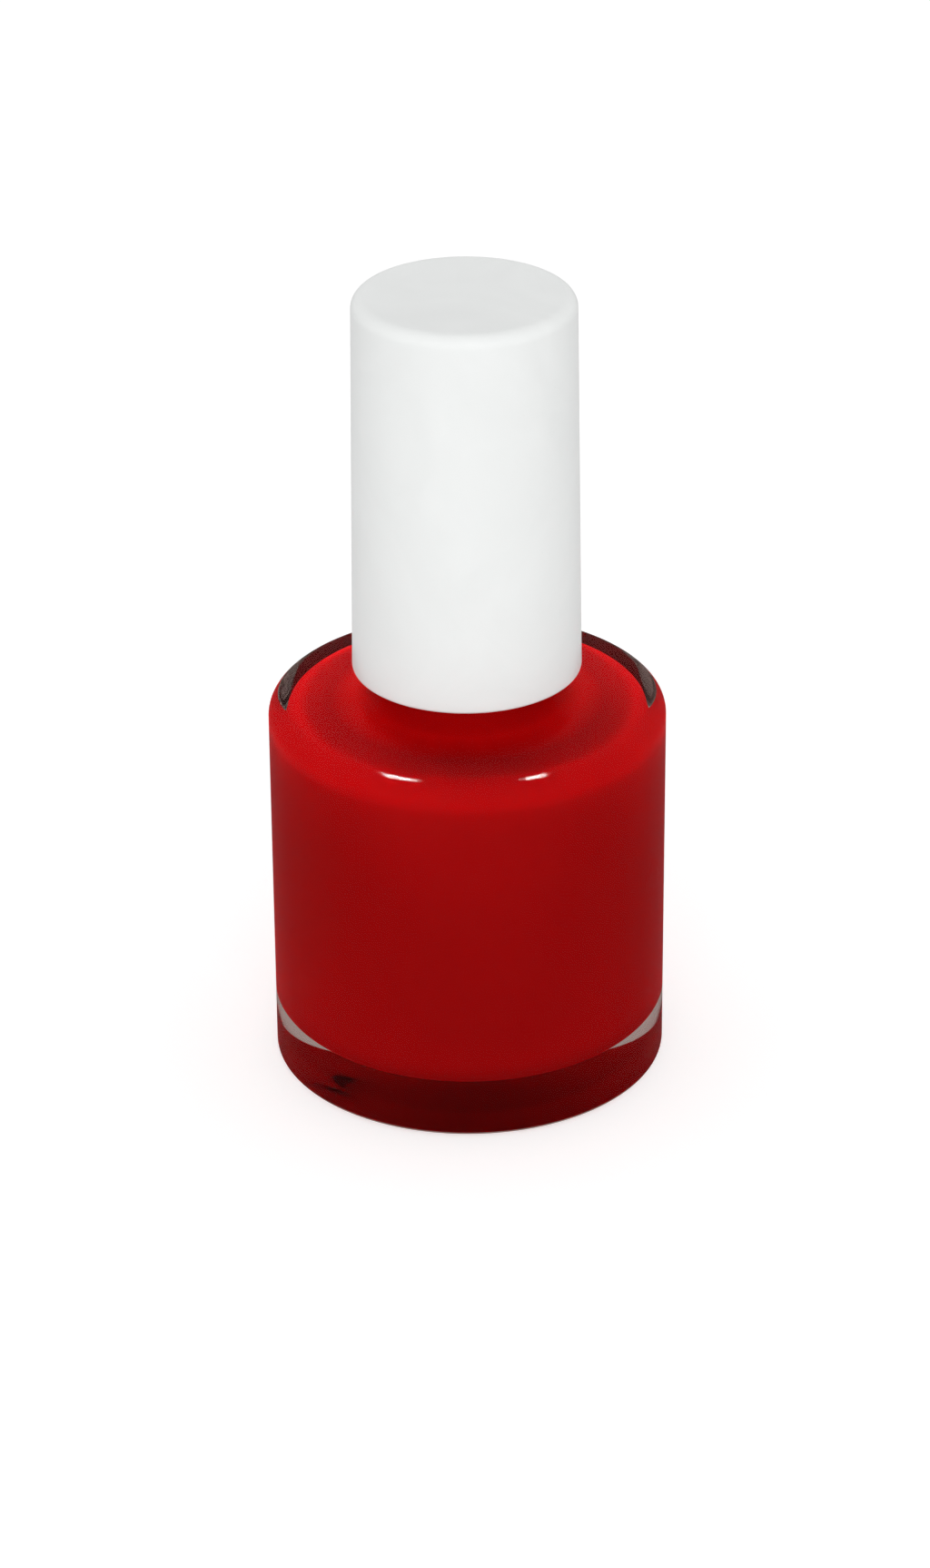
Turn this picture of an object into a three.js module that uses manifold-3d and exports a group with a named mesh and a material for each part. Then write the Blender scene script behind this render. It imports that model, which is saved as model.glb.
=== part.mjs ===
// Nail polish bottle: a round clear glass bottle of red lacquer under a tall white screw cap.
// The cap is two mouldings, a smooth shell over a threaded inner closure, and carries the brush.
// Millimetres, +Z up. The origin is the centre of the circle that the bottle stands on.
import * as THREE from "three";
import { mergeVertices } from "three/addons/utils/BufferGeometryUtils.js";
import Module from "manifold-3d";

const wasm = await Module();
wasm.setup();

// ---- Driving dimensions ----

// Glass bottle
const bottleDiameter = 28;
const shoulderHeight = 27.8; // from the table to the shoulder's outer edge
const sideWall = 1.6;
const baseThickness = 3.2;
const shoulderThickness = 1.7;
const shoulderSlope = THREE.MathUtils.degToRad(8);
const baseEdgeRadius = 0.5;
const shoulderEdgeRadius = 1.3;
const cavityFloorRadius = 2.6;
const cavityShoulderRadius = 1.3;
const pushUpRadius = 8.5; // the shallow dome moulded into the underside
const pushUpDepth = 0.5;

// Glass neck
const neckDiameter = 11.3;
const neckHeight = 11.9; // from where the shoulder's slope would meet the neck up to the rim
const neckBore = 7;
const neckFillet = 3.5;
const boreFlare = 2.4;
const rimRadius = 0.5;

// Screw thread, right handed
const threadPitch = 2.1;
const threadTurns = 1.5;
const neckThreadHeight = 0.5;
const neckThreadRadius = 0.62; // of the bead's round section
const rimToThread = 1.6;
const threadPass = 0.08; // radial gap that lets the two threads pass each other
const closureThreadHeight = 0.32;
const closureThreadRadius = 0.3;

// Cap
const capHeight = 27.7;
const capDraft = THREE.MathUtils.degToRad(0.7); // the cap widens downwards
const capRimGap = 1.7; // from the glass up to the cap's lower rim
const capTopRadius = 0.9;
const capRimRadius = 0.25;
const capDishDepth = 0.35;
const shellWall = 0.75;
const shellTop = 1.4;
const shellFit = 0.08; // gap between the shell and the inner closure
const snapBead = 0.2; // bead inside the shell's rim that holds the closure up
const snapBeadHeight = 0.35;
const ribCount = 8;
const ribWidth = 1;
const ribDepth = 1.1;
const ribEngagement = 1; // how far the ribs reach down into the closure's notches
const ribFit = 0.1;

// Inner closure
const closureWall = 0.5; // at its thinnest, beside the deck
const closureDeck = 1.9;
const chimneyHeight = 4;
const chimneyWall = 1.2;

// Sealing liner
const linerThickness = 1;
const linerPlay = 0.05; // free height above the liner
const linerHoleGap = 0.25; // round the stem
const linerEdgeGap = 0.15; // inside the closure

// Brush
const stemDiameter = 3.5; // below its flange
const stemEndDiameter = 2.9;
const plugDiameter = 4.2;
const plugFit = 0.1;
const flangeDiameter = 9.2;
const flangeThickness = 0.65;
const stemBead = 0.25; // how far the snap bead stands out over the chimney
const stemBeadHeight = 0.7;
const tuftHole = 1.9;
const tuftHoleDepth = 3.2;
const tuftFit = 0.08;
const tuftLength = 12.6; // what shows below the stem
const tuftDiameter = 3.1; // where the bristles spread widest
const tuftTipDiameter = 2;
const tipToFloor = 2.2;
const stapleWidth = 2.4;
const stapleHeight = 1.5;
const stapleThickness = 0.3;
const stapleInset = 1.2; // from the stem's end up to the staple
const stapleFit = 0.05;

// Lacquer and mixing balls
const lacquerGap = 0.05; // from the glass
const fillIntoNeck = 1.2; // how far the lacquer stands up in the straight part of the bore
const brushClearance = 0.35;
const ballDiameter = 4;
const ballClearance = 0.2;
const ballSeat = 0.03; // from the glass floor
const ballWeb = 0.5; // lacquer left between the two balls' ways
const ballTravel = 12;

// Facets
const roundSegments = 48;
const smallSegments = 32; // on the pieces inside the cap
const stemSegments = 24;
const arcSteps = 3;
const threadStepsPerTurn = 32;
const threadSides = 6;
const slack = 0.5; // how far a cutting or joining tool runs past the piece

// ---- Materials ----

const materials = {
  glass: new THREE.MeshStandardMaterial({
    color: 0xf2f6f5,
    roughness: 0.03,
    transparent: true,
    opacity: 0.35,
  }),
  lacquer: new THREE.MeshStandardMaterial({ color: 0x98090f, roughness: 0.18 }),
  capWhite: new THREE.MeshStandardMaterial({ color: 0xeff0ef, roughness: 0.3 }),
  closureWhite: new THREE.MeshStandardMaterial({ color: 0xe9eae7, roughness: 0.45 }),
  linerFoam: new THREE.MeshStandardMaterial({ color: 0xf3f2ec, roughness: 0.75 }),
  stemPlastic: new THREE.MeshStandardMaterial({ color: 0xe4e6e4, roughness: 0.35 }),
  bristle: new THREE.MeshStandardMaterial({ color: 0x1c1a1a, roughness: 0.5 }),
  brass: new THREE.MeshStandardMaterial({ color: 0xc9a65a, roughness: 0.3, metalness: 0.9 }),
  steel: new THREE.MeshStandardMaterial({ color: 0xc4c6c8, roughness: 0.2, metalness: 0.95 }),
};

// ---- Geometry helpers ----

// Points of an arc in a profile, from one angle to another in radians.
function arc(centreR, centreZ, radius, from, to, steps = arcSteps) {
  return Array.from({ length: steps + 1 }, (_, i) => {
    const angle = from + ((to - from) * i) / steps;
    return [centreR + radius * Math.cos(angle), centreZ + radius * Math.sin(angle)];
  });
}

// A profile of [radius, height] pairs turned about Z.
function turned(profile, segments = roundSegments) {
  const points = profile.map(([r, z]) => new THREE.Vector2(Math.max(r, 0), z));
  return new THREE.LatheGeometry(points, segments).rotateX(Math.PI / 2);
}

// A closed geometry as a manifold solid, for joining and cutting.
function solid(geometry) {
  const bare = geometry.clone();
  bare.deleteAttribute("normal");
  bare.deleteAttribute("uv");
  const merged = mergeVertices(bare, 1e-4);
  return new wasm.Manifold(
    new wasm.Mesh({
      numProp: 3,
      vertProperties: new Float32Array(merged.attributes.position.array),
      triVerts: new Uint32Array(merged.index.array),
    }),
  );
}

function geometryOf(manifold) {
  const mesh = manifold.getMesh();
  const geometry = new THREE.BufferGeometry();
  geometry.setAttribute("position", new THREE.BufferAttribute(mesh.vertProperties, 3));
  geometry.setIndex(new THREE.BufferAttribute(mesh.triVerts, 1));
  geometry.computeVertexNormals();
  return geometry;
}

// A right-handed helix whose ends sink into the wall behind it, so that the bead on it fades out.
class ThreadCurve extends THREE.Curve {
  constructor(radius, bottom, sink) {
    super();
    Object.assign(this, { radius, bottom, sink });
  }

  getPoint(t, target = new THREE.Vector3()) {
    const fadeTurns = 0.12;
    const turns = t * threadTurns;
    const end = Math.min(turns, threadTurns - turns) / fadeTurns;
    const radius = this.radius + this.sink * Math.max(0, 1 - end);
    const angle = 2 * Math.PI * turns;
    return target.set(
      radius * Math.cos(angle),
      radius * Math.sin(angle),
      this.bottom + threadPitch * turns,
    );
  }
}

function threadBead(pathRadius, beadRadius, bottom, sink) {
  const section = new THREE.Shape(
    Array.from({ length: threadSides }, (_, i) => {
      const angle = (2 * Math.PI * i) / threadSides;
      return new THREE.Vector2(beadRadius * Math.cos(angle), beadRadius * Math.sin(angle));
    }),
  );
  return new THREE.ExtrudeGeometry(section, {
    steps: Math.round(threadTurns * threadStepsPerTurn),
    bevelEnabled: false,
    extrudePath: new ThreadCurve(pathRadius, bottom, sink),
  });
}

// A box, given by its size and centre.
function block(size, centre) {
  return new THREE.BoxGeometry(...size).translate(...centre);
}

// ---- Places worked out from the dimensions ----

const bottleRadius = bottleDiameter / 2;
const cavityRadius = bottleRadius - sideWall;
const cavityFloor = baseThickness;
const neckRadius = neckDiameter / 2;
const boreRadius = neckBore / 2;

// The shoulder is a straight slope from its rounded outer edge up to the neck's fillet.
const shoulderStart = [
  bottleRadius - shoulderEdgeRadius * (1 - Math.sin(shoulderSlope)),
  shoulderHeight - shoulderEdgeRadius * (1 - Math.cos(shoulderSlope)),
];
const shoulderZ = (r) => shoulderStart[1] + (shoulderStart[0] - r) * Math.tan(shoulderSlope);
const ceilingZ = (r) => shoulderZ(r) - shoulderThickness / Math.cos(shoulderSlope);
const filletCentre = [
  neckRadius + neckFillet,
  shoulderZ(neckRadius + neckFillet) + neckFillet / Math.cos(shoulderSlope),
];
const flareCentre = [
  boreRadius + boreFlare,
  ceilingZ(boreRadius + boreFlare) + boreFlare / Math.cos(shoulderSlope),
];
const cavityCorner = [
  cavityRadius - cavityShoulderRadius,
  ceilingZ(cavityRadius - cavityShoulderRadius) -
    cavityShoulderRadius / Math.cos(shoulderSlope),
];
const rimZ = shoulderZ(neckRadius) + neckHeight;

// Threads: the closure's runs half a pitch below the neck's.
const threadTop = rimZ - rimToThread;
const neckThreadBottom = threadTop - threadTurns * threadPitch;
const closureThreadBottom = neckThreadBottom - threadPitch / 2;
const neckThreadCrest = neckRadius + neckThreadHeight;
const closureThreadCrest = neckThreadCrest + threadPass;
const closureBore = closureThreadCrest + closureThreadHeight;

// The liner lies on the neck's rim, and the closure's deck on the liner.
const linerTop = rimZ + linerThickness;
const deckUnder = linerTop + linerPlay;
const deckTop = deckUnder + closureDeck;
const chimneyTop = deckTop + chimneyHeight;

// The glass's height at a radius, on the slope or on the neck's fillet.
function glassTopZ(r) {
  const inset = filletCentre[0] - r;
  const onFillet = inset > neckFillet * Math.sin(shoulderSlope);
  return onFillet ? filletCentre[1] - Math.sqrt(neckFillet ** 2 - inset ** 2) : shoulderZ(r);
}

// The cap's radius at the deck follows from the neck, and its draft widens it downwards from there.
const shellBoreAtDeck = closureBore + closureWall + shellFit;
const capWidening = (z) => (deckTop - z) * Math.tan(capDraft);
const shellBore = (z) => shellBoreAtDeck + capWidening(z);
const capRadius = (z) => shellBore(z) + shellWall;
const closureRadius = (z) => shellBore(z) - shellFit;
const capBottom = glassTopZ(shellBoreAtDeck + shellWall) + capRimGap;
const capTop = capBottom + capHeight;
const shellCeiling = capTop - shellTop;
const closureBottom = capBottom + snapBeadHeight + capRimRadius + linerPlay;

// Brush
const plugRadius = plugDiameter / 2;
const chimneyBore = plugRadius + plugFit;
const stemRadius = stemDiameter / 2;
const stemEndRadius = stemEndDiameter / 2;
const flangeBottom = linerTop + linerPlay / 2;
const flangeTop = flangeBottom + flangeThickness;
const tuftTip = cavityFloor + tipToFloor;
const stemEnd = tuftTip + tuftLength;
const stapleBottom = stemEnd + stapleInset;
const linerBore = stemRadius + linerHoleGap;

// Lacquer and balls
const brushWay = Math.max(stemRadius, tuftDiameter / 2) + brushClearance;
const fillLevel = flareCentre[1] + fillIntoNeck;
const ballRadius = ballDiameter / 2;
const ballWay = ballRadius + ballClearance;
const ballCentreZ = cavityFloor + ballRadius + ballSeat;
const ballCircle = (brushWay + cavityRadius - cavityFloorRadius) / 2;
const ballHalfAngle = Math.asin((2 * ballWay + ballWeb) / (2 * ballCircle));
const ballAngles = [Math.PI - ballHalfAngle, Math.PI + ballHalfAngle];
const ballPlaces = ballAngles.map((a) => [ballCircle * Math.cos(a), ballCircle * Math.sin(a)]);

const quarter = Math.PI / 2;
const half = Math.PI;

// ---- Glass bottle ----

function bottleGlass() {
  const domeRadius = (pushUpRadius ** 2 + pushUpDepth ** 2) / (2 * pushUpDepth);
  const domeAngle = Math.asin(pushUpRadius / domeRadius);
  const profile = [
    ...arc(0, pushUpDepth - domeRadius, domeRadius, quarter, quarter - domeAngle, 3),
    ...arc(bottleRadius - baseEdgeRadius, baseEdgeRadius, baseEdgeRadius, -quarter, 0),
    ...arc(
      bottleRadius - shoulderEdgeRadius,
      shoulderHeight - shoulderEdgeRadius,
      shoulderEdgeRadius,
      0,
      quarter - shoulderSlope,
    ),
    ...arc(...filletCentre, neckFillet, 3 * quarter - shoulderSlope, half),
    ...arc(neckRadius - rimRadius, rimZ - rimRadius, rimRadius, 0, quarter, 2),
    ...arc(boreRadius + rimRadius, rimZ - rimRadius, rimRadius, quarter, half, 2),
    ...arc(...flareCentre, boreFlare, half, 3 * quarter - shoulderSlope),
    ...arc(...cavityCorner, cavityShoulderRadius, quarter - shoulderSlope, 0, 3),
    ...arc(
      cavityRadius - cavityFloorRadius,
      cavityFloor + cavityFloorRadius,
      cavityFloorRadius,
      0,
      -quarter,
      3,
    ),
    [0, cavityFloor],
  ];
  const thread = threadBead(
    neckThreadCrest - neckThreadRadius,
    neckThreadRadius,
    neckThreadBottom,
    -neckThreadRadius,
  );
  return geometryOf(solid(turned(profile)).add(solid(thread)));
}

// ---- Lacquer: the cavity's shape, open where the brush and the mixing balls go ----

function nailLacquer() {
  const outer = cavityRadius - lacquerGap;
  const floor = cavityFloor + lacquerGap;
  const profile = [
    [0, floor],
    ...arc(
      outer - cavityFloorRadius,
      floor + cavityFloorRadius,
      cavityFloorRadius,
      -quarter,
      0,
      3,
    ),
    ...arc(...cavityCorner, cavityShoulderRadius - lacquerGap, 0, quarter - shoulderSlope, 3),
    ...arc(...flareCentre, boreFlare + lacquerGap, 3 * quarter - shoulderSlope, half),
    [boreRadius - lacquerGap, fillLevel],
    [brushWay, fillLevel],
    [brushWay, tuftTip - brushClearance],
    [0, tuftTip - brushClearance],
  ];
  let lacquer = solid(turned(profile));
  const wayEnd = ballCentreZ + ballTravel;
  const way = turned(
    [[0, cavityFloor - slack], [ballWay, cavityFloor - slack], ...arc(0, wayEnd, ballWay, 0, quarter)],
    stemSegments,
  );
  for (const [x, y] of ballPlaces) {
    lacquer = lacquer.subtract(solid(way.clone().translate(x, y, 0)));
  }
  return geometryOf(lacquer);
}

function mixingBall([x, y]) {
  return new THREE.SphereGeometry(ballRadius, 20, 12).rotateX(quarter).translate(x, y, ballCentreZ);
}

// ---- Cap shell: a smooth cup with ribs inside that stand on the closure's deck ----

function capShell() {
  const topEdge = capTop - capTopRadius;
  const dishRadius = capRadius(capTop) - capTopRadius;
  const dishSphere = (dishRadius ** 2 + capDishDepth ** 2) / (2 * capDishDepth);
  const dishAngle = Math.asin(dishRadius / dishSphere);
  const beadTop = capBottom + capRimRadius + snapBeadHeight;
  const profile = [
    ...arc(capRadius(capBottom) - capRimRadius, capBottom + capRimRadius, capRimRadius, -quarter, 0, 2),
    ...arc(capRadius(topEdge) - capTopRadius, topEdge, capTopRadius, 0, quarter),
    ...arc(0, capTop - capDishDepth + dishSphere, dishSphere, dishAngle - quarter, -quarter, 3),
    [0, shellCeiling],
    [shellBore(shellCeiling), shellCeiling],
    [shellBore(beadTop), beadTop],
    [shellBore(beadTop) - snapBead, beadTop - snapBead],
    [shellBore(capBottom) - snapBead, capBottom + capRimRadius],
    [shellBore(capBottom), capBottom],
  ];
  profile.push(profile[0]);
  let shell = solid(turned(profile));
  const ribBottom = deckTop - ribEngagement;
  const ribOuter = shellBore(deckTop) + shellWall / 2;
  const ribInner = shellBore(shellCeiling) - ribDepth;
  const rib = block(
    [ribOuter - ribInner, ribWidth, shellCeiling + shellTop / 2 - ribBottom],
    [(ribOuter + ribInner) / 2, 0, (shellCeiling + shellTop / 2 + ribBottom) / 2],
  );
  // The shell narrows upwards, so the ribs are trimmed to its outside.
  const within = solid(
    turned([
      [0, ribBottom - slack],
      [capRadius(ribBottom - slack) - shellWall / 2, ribBottom - slack],
      [capRadius(shellCeiling + shellTop / 2) - shellWall / 2, shellCeiling + shellTop / 2],
      [0, shellCeiling + shellTop / 2],
    ]),
  );
  for (let i = 0; i < ribCount; i++) {
    const turn = (2 * Math.PI * i) / ribCount;
    shell = shell.add(solid(rib.clone().rotateZ(turn)).intersect(within));
  }
  return geometryOf(shell);
}

// ---- Inner closure: threaded skirt, deck with rib notches, and the chimney that holds the stem ----

function capInnerClosure() {
  const recess = flangeDiameter / 2 + plugFit;
  const recessTop = flangeTop + plugFit / 2;
  const chimneyRadius = chimneyBore + chimneyWall;
  const leadIn = 0.25;
  const profile = [
    [closureRadius(closureBottom), closureBottom],
    [closureRadius(deckTop), deckTop],
    [chimneyRadius, deckTop],
    [chimneyRadius, chimneyTop],
    [chimneyBore, chimneyTop],
    [chimneyBore, recessTop],
    [recess, recessTop],
    [recess, deckUnder],
    [closureBore, deckUnder],
    [closureBore, closureBottom + leadIn],
    [closureBore + leadIn / 2, closureBottom],
  ];
  profile.push(profile[0]);
  const bead = threadBead(
    closureThreadCrest + closureThreadRadius,
    closureThreadRadius,
    closureThreadBottom,
    closureWall / 2,
  );
  let closure = solid(turned(profile, smallSegments)).add(solid(bead));
  const notchDepth = ribEngagement + ribFit;
  const notchInner = shellBore(shellCeiling) - ribDepth - ribFit;
  const notchOuter = closureRadius(deckUnder) + slack;
  const notch = block(
    [notchOuter - notchInner, ribWidth + 2 * ribFit, notchDepth + slack],
    [(notchOuter + notchInner) / 2, 0, deckTop - notchDepth + (notchDepth + slack) / 2],
  );
  for (let i = 0; i < ribCount; i++) {
    closure = closure.subtract(solid(notch.clone().rotateZ((2 * Math.PI * i) / ribCount)));
  }
  return geometryOf(closure);
}

// ---- Sealing liner: a foam washer between the neck's rim and the closure ----

function sealingLiner() {
  const edge = closureBore - linerEdgeGap;
  const profile = [
    [linerBore, rimZ],
    [edge, rimZ],
    [edge, linerTop],
    [linerBore, linerTop],
    [linerBore, rimZ],
  ];
  return turned(profile, smallSegments);
}

// ---- Brush: stem with flange and snap plug, brass staple, bristle tuft ----

function stapleBlock(gap) {
  return block(
    [stapleWidth + 2 * gap, stapleThickness + 2 * gap, stapleHeight + 2 * gap],
    [0, 0, stapleBottom + stapleHeight / 2],
  );
}

function brushStem() {
  const beadBottom = chimneyTop + plugFit / 2;
  const edge = 0.3;
  const holeRadius = tuftHole / 2;
  const profile = [
    [0, stemEnd + tuftHoleDepth],
    [holeRadius, stemEnd + tuftHoleDepth],
    [holeRadius, stemEnd],
    ...arc(stemEndRadius - edge, stemEnd + edge, edge, -quarter, 0, 2),
    [stemRadius, flangeBottom],
    [flangeDiameter / 2, flangeBottom],
    [flangeDiameter / 2, flangeTop],
    [plugRadius, flangeTop],
    [plugRadius, beadBottom],
    [plugRadius + stemBead, beadBottom],
    [plugRadius - stemBead, beadBottom + stemBeadHeight],
    [0, beadBottom + stemBeadHeight],
  ];
  return geometryOf(solid(turned(profile, stemSegments)).subtract(solid(stapleBlock(stapleFit))));
}

function brushBristles() {
  const root = tuftHole / 2 - tuftFit;
  const tip = tuftTipDiameter / 2;
  const widest = tuftDiameter / 2;
  const profile = [
    [0, tuftTip],
    [tip / 2, tuftTip + tip / 8],
    [tip, tuftTip + tip],
    [widest, tuftTip + tuftLength / 2],
    [(root + widest) / 2, stemEnd - tuftLength / 6],
    [root, stemEnd],
    [root, stemEnd + tuftHoleDepth - tuftFit],
    [0, stemEnd + tuftHoleDepth - tuftFit],
  ];
  return geometryOf(solid(turned(profile, stemSegments)).subtract(solid(stapleBlock(stapleFit))));
}

// ---- Assembly ----

function piece(name, geometry, material) {
  const mesh = new THREE.Mesh(geometry, material);
  mesh.name = name;
  return mesh;
}

const bottle = new THREE.Group();
bottle.add(
  piece("bottle_glass", bottleGlass(), materials.glass),
  piece("nail_lacquer", nailLacquer(), materials.lacquer),
  ...ballPlaces.map((place, i) => piece(`mixing_ball_${i + 1}`, mixingBall(place), materials.steel)),
);

const brush = new THREE.Group();
brush.add(
  piece("brush_stem", brushStem(), materials.stemPlastic),
  piece("brush_staple", stapleBlock(0), materials.brass),
  piece("brush_bristles", brushBristles(), materials.bristle),
);

const cap = new THREE.Group();
cap.add(
  piece("cap_shell", capShell(), materials.capWhite),
  piece("cap_inner_closure", capInnerClosure(), materials.closureWhite),
  brush,
);

const nailPolish = new THREE.Group();
nailPolish.add(bottle, piece("sealing_liner", sealingLiner(), materials.linerFoam), cap);

export default nailPolish;
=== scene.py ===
import math
import random

import bmesh
import bpy
from mathutils import Matrix, Quaternion, Vector


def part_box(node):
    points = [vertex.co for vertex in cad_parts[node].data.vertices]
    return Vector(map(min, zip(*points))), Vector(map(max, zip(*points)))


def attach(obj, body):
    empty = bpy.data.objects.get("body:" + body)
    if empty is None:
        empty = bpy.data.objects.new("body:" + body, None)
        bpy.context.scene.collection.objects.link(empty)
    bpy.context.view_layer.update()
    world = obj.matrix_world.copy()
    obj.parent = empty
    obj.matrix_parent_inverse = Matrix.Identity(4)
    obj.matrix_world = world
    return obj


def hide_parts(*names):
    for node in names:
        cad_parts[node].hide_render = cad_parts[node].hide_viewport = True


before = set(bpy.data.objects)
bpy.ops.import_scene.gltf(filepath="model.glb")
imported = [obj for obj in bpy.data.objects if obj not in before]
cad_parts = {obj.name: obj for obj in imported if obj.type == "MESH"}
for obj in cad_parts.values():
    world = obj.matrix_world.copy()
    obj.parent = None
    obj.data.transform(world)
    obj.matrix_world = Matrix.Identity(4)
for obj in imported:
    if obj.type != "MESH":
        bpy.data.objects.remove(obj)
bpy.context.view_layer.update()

# ---- Glass bottle ----
# Clear flint glass, blown in one piece in a two-part mould: a thick base with a shallow dome under it, a
# straight wall, a sloping shoulder, and a neck with a right-hand thread. It stands on its bearing ring.

MM = 0.001
glass_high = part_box("bottle_glass")[1]
liquid_low, liquid_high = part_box("nail_lacquer")

body_radius = glass_high.x
rim_height = glass_high.z
liquid_gap = 0.05 * MM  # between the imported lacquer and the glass
cavity_radius = liquid_high.x + liquid_gap
cavity_floor = liquid_low.z - liquid_gap
shoulder_height = 27.8 * MM
shoulder_slope = math.radians(8)
shoulder_thickness = 1.7 * MM
shoulder_edge = 1.3 * MM
base_edge = 0.5 * MM
dome_radius = 8.5 * MM
dome_depth = 0.5 * MM
floor_corner = 2.6 * MM
ceiling_corner = 1.3 * MM
neck_radius = 5.65 * MM
bore_radius = 3.5 * MM
neck_fillet = 3.5 * MM
bore_flare = 2.4 * MM
rim_edge = 0.5 * MM
thread_pitch = 2.1 * MM
thread_turns = 1.5
neck_thread_height = 0.5 * MM
neck_thread_width = 1.3 * MM
rim_to_thread = 1.6 * MM


def arc(centre, radius, start, end, steps=12):
    """Points of an arc in a profile of (radius, height), from one angle to another in radians."""
    turn = (end - start) / steps
    return [
        (centre[0] + radius * math.cos(start + turn * i), centre[1] + radius * math.sin(start + turn * i))
        for i in range(steps + 1)
    ]


def straight(start, end, steps):
    """The points between two others in a profile, without the two."""
    (r0, z0), (r1, z1) = start, end
    return [(r0 + (r1 - r0) * i / steps, z0 + (z1 - z0) * i / steps) for i in range(1, steps)]


def finished(name, bm, sharp=35):
    """A mesh object from a bmesh, smooth but for its edges sharper than that angle in degrees."""
    bmesh.ops.recalc_face_normals(bm, faces=bm.faces)
    mesh = bpy.data.meshes.new(name)
    bm.to_mesh(mesh)
    bm.free()
    mesh.shade_smooth()
    mesh.set_sharp_from_angle(angle=math.radians(sharp))
    obj = bpy.data.objects.new(name, mesh)
    bpy.context.scene.collection.objects.link(obj)
    return obj


def turned(name, profile, columns=192, closed=False, relief=None, sharp=35):
    """A profile turned about Z. Relief moves a point out and up, from its angle, radius and height."""
    bm = bmesh.new()
    rings = []
    for r, z in profile:
        if r < 1e-7:
            rings.append([bm.verts.new((0, 0, z))])
            continue
        ring = []
        for i in range(columns):
            angle = math.tau * i / columns
            out, up = relief(angle, r, z) if relief else (0, 0)
            ring.append(bm.verts.new(((r + out) * math.cos(angle), (r + out) * math.sin(angle), z + up)))
        rings.append(ring)
    pairs = list(zip(rings, rings[1:]))
    if closed:
        pairs.append((rings[-1], rings[0]))
    for lower, painted_light_area in pairs:
        for i in range(columns):
            j = i + 1
            below = [lower[i % len(lower)], lower[j % len(lower)]]
            above = [painted_light_area[j % len(painted_light_area)], painted_light_area[i % len(painted_light_area)]]
            bm.faces.new(list(dict.fromkeys(below + above)))
    return finished(name, bm, sharp)


def thread_relief(bottom, height, width, inward=False):
    """A right-handed thread of that height and width, which fades in and out at its ends."""

    def relief(angle, r, z):
        out = 0
        for lap in range(math.ceil(thread_turns)):
            turns = angle / math.tau + lap
            if turns > thread_turns:
                continue
            across = (z - bottom - thread_pitch * turns) / (width / 2)
            if abs(across) < 1:
                fade = min(1, min(turns, thread_turns - turns) / 0.1)
                crown = (1 - across * across) ** 0.6
                out = max(out, height * crown * fade * fade * (3 - 2 * fade))
        return -out if inward else out

    return relief


def shoulder_at(r):
    """The height of the sloping shoulder at a radius."""
    start_r = body_radius - shoulder_edge * (1 - math.sin(shoulder_slope))
    start_z = shoulder_height - shoulder_edge * (1 - math.cos(shoulder_slope))
    return start_z + (start_r - r) * math.tan(shoulder_slope)


def ceiling_at(r):
    """The height of the cavity's ceiling at a radius."""
    return shoulder_at(r) - shoulder_thickness / math.cos(shoulder_slope)


QUARTER = math.pi / 2
dome_sphere = (dome_radius**2 + dome_depth**2) / (2 * dome_depth)
dome_angle = math.asin(dome_radius / dome_sphere)
fillet_centre = (
    neck_radius + neck_fillet,
    shoulder_at(neck_radius + neck_fillet) + neck_fillet / math.cos(shoulder_slope),
)
flare_centre = (
    bore_radius + bore_flare,
    ceiling_at(bore_radius + bore_flare) + bore_flare / math.cos(shoulder_slope),
)
corner_centre = (
    cavity_radius - ceiling_corner,
    ceiling_at(cavity_radius - ceiling_corner) - ceiling_corner / math.cos(shoulder_slope),
)
underside = arc((0, dome_depth - dome_sphere), dome_sphere, QUARTER, QUARTER - dome_angle, 16)
heel = arc((body_radius - base_edge, base_edge), base_edge, -QUARTER, 0, 14)
shoulder_centre = (body_radius - shoulder_edge, shoulder_height - shoulder_edge)
shoulder_round = arc(shoulder_centre, shoulder_edge, 0, QUARTER - shoulder_slope, 18)
neck_root = arc(fillet_centre, neck_fillet, 3 * QUARTER - shoulder_slope, math.pi, 18)
rim_outer = arc((neck_radius - rim_edge, rim_height - rim_edge), rim_edge, 0, QUARTER, 8)
rim_inner = arc((bore_radius + rim_edge, rim_height - rim_edge), rim_edge, QUARTER, math.pi, 8)
flare = arc(flare_centre, bore_flare, math.pi, 3 * QUARTER - shoulder_slope, 14)
ceiling_round = arc(corner_centre, ceiling_corner, QUARTER - shoulder_slope, 0, 12)
floor_centre = (cavity_radius - floor_corner, cavity_floor + floor_corner)
floor_round = arc(floor_centre, floor_corner, 0, -QUARTER, 12)
stretches = [
    (underside, 8),
    (heel, 60),
    (shoulder_round, 16),
    (neck_root, 90),
    (rim_outer, 4),
    (rim_inner, 40),
    (flare, 14),
    (ceiling_round, 50),
    (floor_round, 14),
]
glass_profile = []
for (curve, steps), (following, _) in zip(stretches, stretches[1:]):
    glass_profile += curve + straight(curve[-1], following[0], steps)
glass_profile += floor_round + straight(floor_round[-1], (0, cavity_floor), 14) + [(0, cavity_floor)]

neck_thread_bottom = rim_height - rim_to_thread - thread_turns * thread_pitch
neck_thread = thread_relief(neck_thread_bottom, neck_thread_height, neck_thread_width)


def glass_relief(angle, r, z):
    on_neck = abs(r - neck_radius) < 0.01 * MM
    return (neck_thread(angle, r, z) if on_neck else 0, 0)


glass_bottle = turned("glass_bottle", glass_profile, columns=256, relief=glass_relief, sharp=60)


def linear(red, green, blue):
    """A colour written as 0 to 255 screen values, as the linear values that shaders take."""
    shares = (red / 255, green / 255, blue / 255)
    return tuple(v / 12.92 if v <= 0.04045 else ((v + 0.055) / 1.055) ** 2.4 for v in shares) + (1,)


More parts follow.
